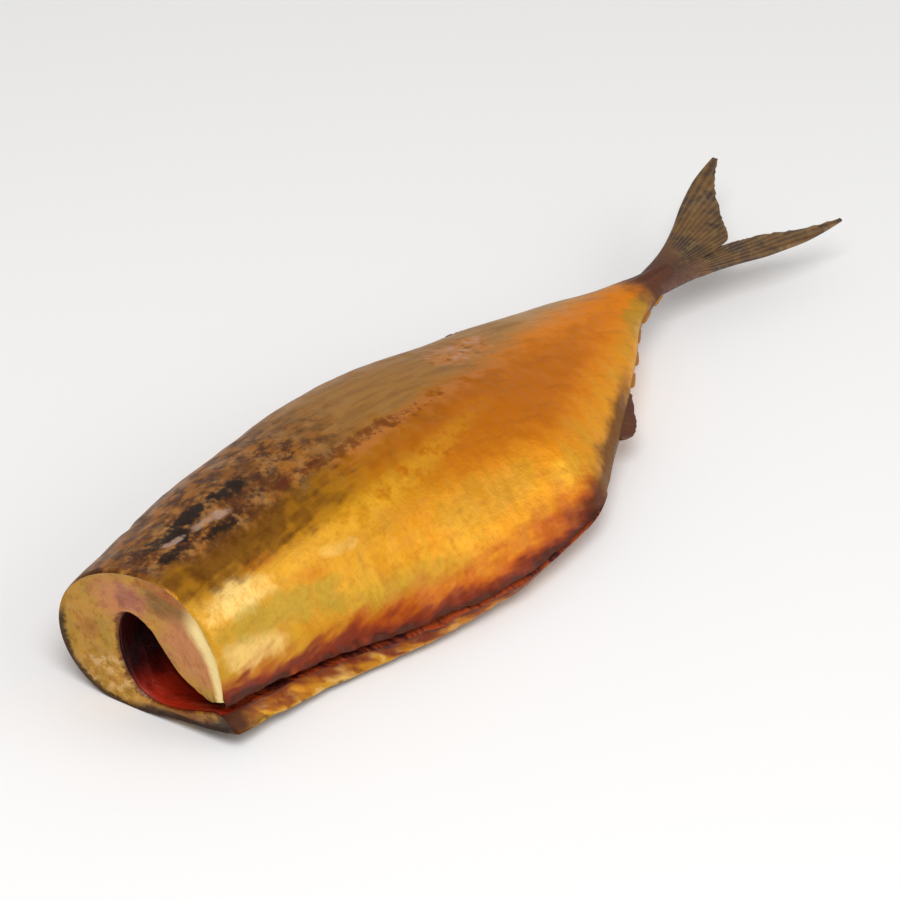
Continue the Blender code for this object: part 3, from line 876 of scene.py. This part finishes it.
edgeFins = {
    # side of the body, the root's front and rear x, the height and the thickness
    "secondBackFin": (1, 160, 178, 3.2, 2.0),
    "analFin": (-1, 168, 185, 3.4, 2.0),
    "finlets": 5,
    "firstFinletX": 188.0,
    "finletPitch": 9.0,
    "finletSize": (5.5, 0.45, 1.2),  # length, height and thickness
    "finletShrink": 0.07,
    "finletRays": 3,
    "rays": 9,
    "sunk": 2.5,  # how deep each one starts in the body
    "lean": 0.8,
}


def edgeFin(side, front, rear, height, thickness, rays, seed, finlet=0):
    s = np.linspace(0, 1, max(16, rays * 8))[:, None]
    turn = np.linspace(0, 1, 26)[None, :]
    x = front + (rear - front) * s
    ray = 0.5 + 0.5 * np.cos(s * rays * 2 * math.pi)
    ragged = 0.84 + 0.04 * ray + 0.2 * lumps(stacked(s * 20, seed * 3.0, 0), 3.4, 11)
    rise = height * np.maximum(0.12, np.sin(math.pi * s**0.55)) * np.minimum(1, ragged)
    up = np.sin(math.pi * turn) ** 0.7
    across = np.cos(math.pi * turn) * thickness / 2 * (1 - 0.45 * up) * (0.95 + 0.05 * ray)
    beyond = -edgeFins["sunk"] + (rise + edgeFins["sunk"]) * up
    out = halfDepth(x) + beyond
    lean = edgeFins["lean"] * np.maximum(0, beyond)
    points = asItLies(x + lean, side * out, across + 0 * x)
    rayAll = np.broadcast_to(ray * 0.3, points.shape[:2])
    rootAll = np.broadcast_to(1.15 + up * 0.6 + finlet, points.shape[:2])
    return points, rayAll, rootAll


def allFins():
    makeFins("tailFin", [tailLobe(tailFin["upper"], 1), tailLobe(tailFin["lower"], 2)])
    f = edgeFins
    length, height, thickness = f["finletSize"]
    for name, side, big in (("backFins", 1, "secondBackFin"), ("bellyFins", -1, "analFin")):
        made = [edgeFin(*f[big], f["rays"], side)]  # the stump of a dried fin
        for k in range(f["finlets"]):
            x = f["firstFinletX"] + f["finletPitch"] * k
            rise = height - f["finletShrink"] * k
            made.append(edgeFin(side, x, x + length, rise, thickness, f["finletRays"], 5 * side + k, 1))
        makeFins(name, made)


allFins()

# The floor, lights and camera.
stage = {
    "cameraPlace": (-543.8, -447.2, 612.0),
    "aim": (137.0, 12.5, 4.8),
    "lens": 146.5,
    "roll": 6.4,
    "floor": tone(251, 251, 252),
    "sky": (1, 0.985, 0.96, 1),
    "skyStrength": 0.5,
    # name, place, size and power
    "lights": (("key", (-0.45, -0.25, 0.9), 0.6, 5.2), ("fill", (0.5, -0.8, 0.5), 0.8, 2.5)),
}


def turnTo(thing, aim):
    thing.rotation_euler = (aim - thing.location).to_track_quat("-Z", "Y").to_euler()


def addLight(name, place, size, power):
    light = bpy.data.lights.new(name, "AREA")
    light.shape, light.size, light.energy = "DISK", size, power
    lamp = bpy.data.objects.new(name, light)
    lamp.location = place
    turnTo(lamp, Vector((0, 0, 0)))
    bpy.context.scene.collection.objects.link(lamp)


def setStage():
    floorFinish = Finish("pale_floor", Roughness=0.6)
    floorFinish.surface.inputs["Base Color"].default_value = stage["floor"]
    mesh = bpy.data.meshes.new("floor")
    mesh.from_pydata([(-4, -4, 0), (4, -4, 0), (4, 4, 0), (-4, 4, 0)], [], [(0, 1, 2, 3)])
    mesh.materials.append(floorFinish.material)
    floor = bpy.data.objects.new("floor", mesh)
    floor.location.z = -0.0002
    bpy.context.scene.collection.objects.link(floor)
    world = bpy.data.worlds.new("soft_room")
    world.use_nodes = True
    world.node_tree.nodes["Background"].inputs["Color"].default_value = stage["sky"]
    world.node_tree.nodes["Background"].inputs["Strength"].default_value = stage["skyStrength"]
    bpy.context.scene.world = world
    for light in stage["lights"]:
        addLight(*light)
    camera = bpy.data.cameras.new("camera")
    camera.lens = stage["lens"]
    eye = bpy.data.objects.new("camera", camera)
    eye.location = Vector(placed(stage["cameraPlace"]))
    turnTo(eye, Vector(placed(stage["aim"])))
    eye.rotation_euler.rotate_axis("Z", math.radians(stage["roll"]))
    bpy.context.scene.collection.objects.link(eye)
    bpy.context.scene.camera = eye
    bpy.context.scene.view_settings.view_transform = "Standard"


setStage()
print("stage ready")
